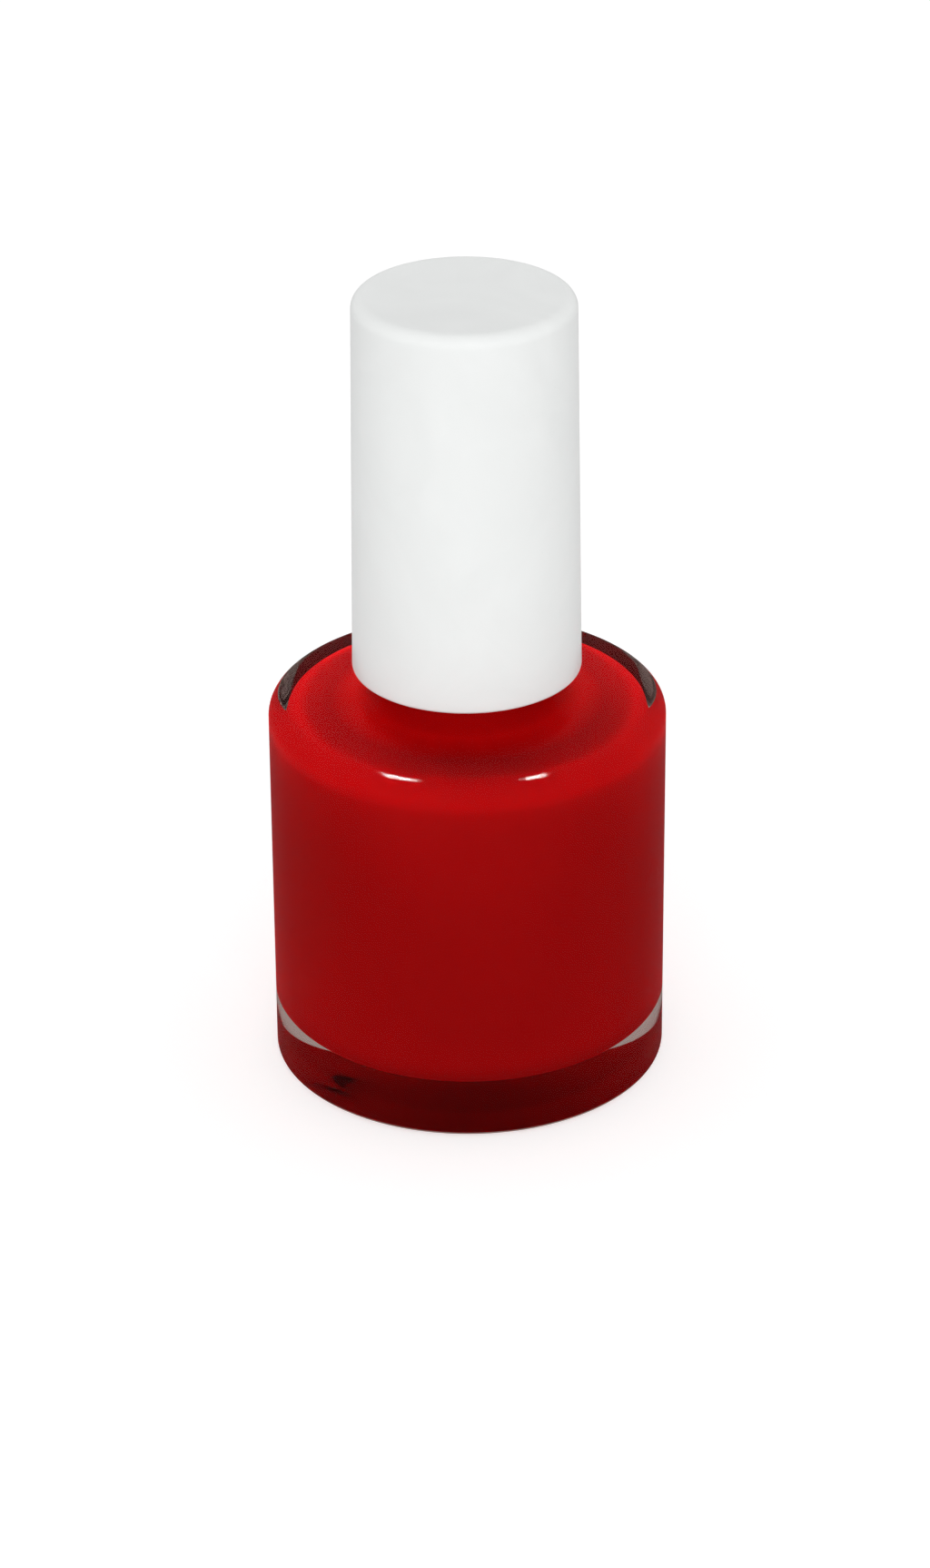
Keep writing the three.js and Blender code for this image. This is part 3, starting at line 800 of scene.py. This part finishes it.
def leg_points(across, along, lean):
    """A leg's points from its tip up into the hole. Across and along are shares of the tuft's reach."""
    spread = math.hypot(across, along)
    tip = tuft_low.z + 0.03 * MM + trim_dome * (1 - math.sqrt(max(0, 1 - spread * spread)))
    tip += dice.uniform(0, 0.25) * MM
    points = []
    for i in range(leg_steps + 1):
        z = tip + (fold_level - tip) * i / leg_steps
        reach = tuft_reach(z) - filament_radius
        sway = lean * math.sin(math.pi * max(0, min(1, (stem_low.z - z) / (stem_low.z - tuft_low.z))))
        points.append(Vector((across * reach + sway * along, along * reach - sway * across, z)))
    return points


def add_tube(bm, points, radius, sides):
    """A round tube along points, closed by a rounded cap at each end."""
    rings = []
    side = Vector((1, 0, 0))
    for i, point in enumerate(points):
        ahead = (points[min(i + 1, len(points) - 1)] - points[max(i - 1, 0)]).normalized()
        side = (side - ahead * side.dot(ahead)).normalized()
        up = ahead.cross(side)
        size = radius * (0.6 if i in (0, len(points) - 1) else 1)
        turns = [math.tau * k / sides for k in range(sides)]
        rings.append([bm.verts.new(point + size * (side * math.cos(a) + up * math.sin(a))) for a in turns])
    for lower, painted_light_area in zip(rings, rings[1:]):
        for k in range(sides):
            j = (k + 1) % sides
            bm.faces.new((lower[k], lower[j], painted_light_area[j], painted_light_area[k]))
    bm.faces.new(list(reversed(rings[0])))
    bm.faces.new(rings[-1])


bm = bmesh.new()
rows = 5
inner_row = 0.36  # shares of the tuft's reach
row_spread = 0.6
for row in range(rows):
    along = inner_row + row_spread * row / (rows - 1)
    reach_across = math.sqrt(max(0, 1 - along * along))
    count = max(2, round(2 * reach_across * hole_reach / (2.3 * filament_radius)))
    for i in range(count):
        across = reach_across * (2 * (i + 0.5) / count - 1) * 0.97
        front = leg_points(across + dice.uniform(-0.04, 0.04), along, dice.uniform(-0.06, 0.06) * MM)
        back = leg_points(across + dice.uniform(-0.04, 0.04), -along, dice.uniform(-0.06, 0.06) * MM)
        rise = (0.05 + 0.32 * (along - inner_row) / row_spread) * MM
        fold = []
        for k in range(1, fold_steps):
            t = math.pi * k / fold_steps
            middle = front[-1].lerp(back[-1], (1 - math.cos(t)) / 2)
            fold.append(middle + Vector((0, 0, rise * math.sin(t))))
        add_tube(bm, front + fold + list(reversed(back)), filament_radius, filament_sides)
# More legs fill the middle of the tuft below the staple, where the folded ones spread apart.
middle_legs = 46
for i in range(middle_legs):
    spread = math.sqrt((i + 0.5) / middle_legs) * 0.97
    angle = i * math.pi * (3 - math.sqrt(5))
    across, along = spread * math.cos(angle), spread * math.sin(angle)
    leg = leg_points(across, along, dice.uniform(-0.08, 0.08) * MM)
    add_tube(bm, [p for p in leg if p.z < staple_low.z - 0.2 * MM], filament_radius, filament_sides)
filaments = finished("nylon_filaments", bm, 180)

nylon, tree, shader = new_material("wet_nylon")
film = placed_group(tree, film_group, Level=fill_level, Run_Length=1 * MM, Bare_Share=0.36)
strands = noise(tree, object_place(tree), 2600, 2)
bare = blended(tree, strands, linear(30, 26, 26), linear(58, 50, 48))
tree.links.new(blended(tree, film.outputs["Film"], bare, WET_RED), shader.inputs["Base Color"])
tree.links.new(ranged(tree, strands, 0.3, 0.7, 0.14, 0.3), shader.inputs["Roughness"])
wet_relief = bumped(tree, film.outputs["Thickness"], 0.3, 0.04 * MM)
tree.links.new(wet_relief, shader.inputs["Normal"])
filaments.data.materials.append(nylon)
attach(filaments, "cap")
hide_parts("brush_bristles")

# ---- Cap shell ----
# The tall outer cup, moulded in glossy white plastic with a shallow dished top. It is pressed down
# over the closure: its eight ribs drop into the closure's notches, and a bead inside its rim snaps
# under the closure's foot.

shell_low, shell_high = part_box("cap_shell")
shell_wall = 0.75 * MM
shell_top = 1.4 * MM
cap_top_round = 0.9 * MM
cap_rim_round = 0.25 * MM
dish_depth = 0.35 * MM
snap_bead_height = 0.35 * MM
snap_round = 0.25 * MM
snap_inset = 0.05 * MM
ceiling = shell_high.z - shell_top
ceiling_round = 0.4 * MM
rib_inner = 5.87 * MM
rib_outer = 7.3 * MM
rib_width = 1.0 * MM
rib_bottom = deck_top - 1.0 * MM


def cap_radius(z):
    return shell_high.x - (z - shell_low.z - cap_rim_round) * math.tan(cap_draft)


def shell_bore(z):
    return cap_radius(z) - shell_wall


top_edge = shell_high.z - cap_top_round
dish_radius = cap_radius(shell_high.z) - cap_top_round
dish_sphere = (dish_radius**2 + dish_depth**2) / (2 * dish_depth)
dish_angle = math.asin(dish_radius / dish_sphere)
bead_top = shell_low.z + cap_rim_round + snap_bead_height
dish = arc((0, shell_high.z - dish_depth + dish_sphere), dish_sphere, -QUARTER, dish_angle - QUARTER, 20)
cap_shoulder = arc((cap_radius(top_edge) - cap_top_round, top_edge), cap_top_round, QUARTER, 0, 16)
rim_round = arc((shell_high.x - cap_rim_round, shell_low.z + cap_rim_round), cap_rim_round, 0, -QUARTER, 8)
snap_centre = (shell_bore(bead_top) + snap_inset, bead_top - snap_round)
snap = arc(snap_centre, snap_round, 3 * QUARTER, QUARTER, 8)
corner_inside = (shell_bore(ceiling) - ceiling_round, ceiling - ceiling_round)
inner_corner = arc(corner_inside, ceiling_round, 0, QUARTER, 8)
shell_profile = dish + cap_shoulder + straight(cap_shoulder[-1], rim_round[0], 40) + rim_round
shell_profile += [(shell_bore(shell_low.z) + 0.1 * MM, shell_low.z)] + snap
shell_profile += straight(snap[-1], inner_corner[0], 40) + inner_corner
shell_profile += straight(inner_corner[-1], (0, ceiling), 10) + [(0, ceiling)]
outer_shell = turned("outer_shell", shell_profile, columns=256)
ribs = radial_blocks(
    "ribs", rib_count, rib_inner, rib_outer, rib_width, rib_bottom, ceiling + shell_top / 2, 0.15 * MM
)
carved(outer_shell, ribs, "UNION")

cap_white, tree, shader = moulded_plastic(
    "cap_white_plastic", linear(243, 245, 244), linear(240, 242, 241), 0.3, 0.36, 7000, 0.01 * MM
)
shader.inputs["Subsurface Weight"].default_value = 0.1
shader.inputs["Subsurface Radius"].default_value = (1, 1, 1)
shader.inputs["Subsurface Scale"].default_value = 0.4 * MM
outer_shell.data.materials.clear()
outer_shell.data.materials.append(cap_white)
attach(outer_shell, "cap")
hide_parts("cap_shell")

# ---- Studio ----
# The bottle stands on pale paper in a white room. A soft lamp lights its front, two strips behind it
# put a highlight on each side of the shoulder, and the camera looks down at it.

floor_size = 3.0
air_gap = 0.03 * MM  # paper never wets glass, so a film of air is left under the bottle
floor_place = Matrix.Translation((0, 0, -air_gap))
bm = bmesh.new()
bmesh.ops.create_grid(bm, x_segments=1, y_segments=1, size=floor_size, matrix=floor_place)
floor = finished("floor", bm)


def background_rays(tree):
    """1 for the rays that show what is behind the bottle: straight, mirrored or through glass."""
    rays = chained(tree, "ShaderNodeLightPath").outputs
    mirrored = worked(tree, "MAXIMUM", rays["Is Camera Ray"], rays["Is Glossy Ray"])
    return worked(tree, "MAXIMUM", mirrored, rays["Is Transmission Ray"])


paper, tree, shader = new_material("pale_paper")
rays = chained(tree, "ShaderNodeLightPath").outputs
shader.inputs["Base Color"].default_value = (0.72, 0.72, 0.72, 1)
shader.inputs["Roughness"].default_value = 0.9
shader.inputs["Specular IOR Level"].default_value = 0.1
whiteness = ranged(tree, rays["Is Camera Ray"], 0, 1, 0.15, 0.5)
shader.inputs["Emission Color"].default_value = (1, 1, 1, 1)
shown_white = worked(tree, "MULTIPLY", background_rays(tree), whiteness)
tree.links.new(shown_white, shader.inputs["Emission Strength"])
floor.data.materials.append(paper)

# The room is white wherever it shows. As light, it is brightest near the horizon.
world = bpy.data.worlds.new("studio")
world.use_nodes = True
bpy.context.scene.world = world
tree = world.node_tree
direction = chained(tree, "ShaderNodeTexCoord").outputs["Generated"]
glow = ranged(tree, height_of(tree, direction), 0, 1, 1.0, 0.55)
feeds = {"Factor": background_rays(tree), 2: glow, 3: 1.0}
strength = chained(tree, "ShaderNodeMix", feeds, {"data_type": "FLOAT"})
tree.links.new(strength.outputs["Result"], tree.nodes["Background"].inputs["Strength"])
tree.nodes["Background"].inputs["Color"].default_value = (1, 1, 1, 1)
world.cycles.sampling_method = "NONE"


def softbox(name, azimuth, elevation, distance, size, power, roll=0):
    """A rectangular lamp that faces the bottle. Azimuth 0 is the camera's side."""
    lamp = bpy.data.lights.new(name, "AREA")
    lamp.shape, lamp.size, lamp.size_y, lamp.energy = "RECTANGLE", size[0], size[1], power
    obj = bpy.data.objects.new(name, lamp)
    a, e = math.radians(azimuth), math.radians(elevation)
    away = Vector((math.sin(a) * math.cos(e), -math.cos(a) * math.cos(e), math.sin(e)))
    obj.location = Vector((0, 0, 0.03)) + away * distance
    turned_by = Quaternion((0, 0, 1), math.radians(roll))
    obj.rotation_euler = (away.to_track_quat("Z", "Y") @ turned_by).to_euler()
    bpy.context.scene.collection.objects.link(obj)
    obj.visible_camera = False
    obj.visible_transmission = False
    return obj


key = softbox("key_light", 0, 22, 0.7, (0.5, 0.3), 1.6)
key.visible_glossy = False

# Two narrow strips behind the bottle are aimed past the cap and shine on the glass alone.
glass_only = bpy.data.collections.new("glass_only")
glass_only.objects.link(glass_bottle)
strips = (("strip_light_left", -148, 0.072, -51), ("strip_light_right", 148, 0.046, 51))
for name, azimuth, width, roll in strips:
    strip = softbox(name, azimuth, 66, 0.6, (width, 0.3), 230 * width, roll)
    strip.light_linking.receiver_collection = glass_only
    strip.visible_diffuse = False

camera_distance = 0.346
camera_elevation = math.radians(26.35)
camera_roll = math.radians(-0.45)
towards_camera = Vector((0, -math.cos(camera_elevation), math.sin(camera_elevation)))
eye = Vector((0, 0, 0.03)) + camera_distance * towards_camera
aim = Vector((-0.0002, 0, 0.0207))
camera = bpy.data.objects.new("camera", bpy.data.cameras.new("camera"))
bpy.context.scene.collection.objects.link(camera)
camera.location = eye
looking = (aim - eye).to_track_quat("-Z", "Y")
camera.rotation_euler = (looking @ Quaternion((0, 0, 1), camera_roll)).to_euler()
camera.data.lens = 113.3
camera.data.clip_start = 0.01
bpy.context.scene.camera = camera
bpy.context.scene.view_settings.view_transform = "Standard"
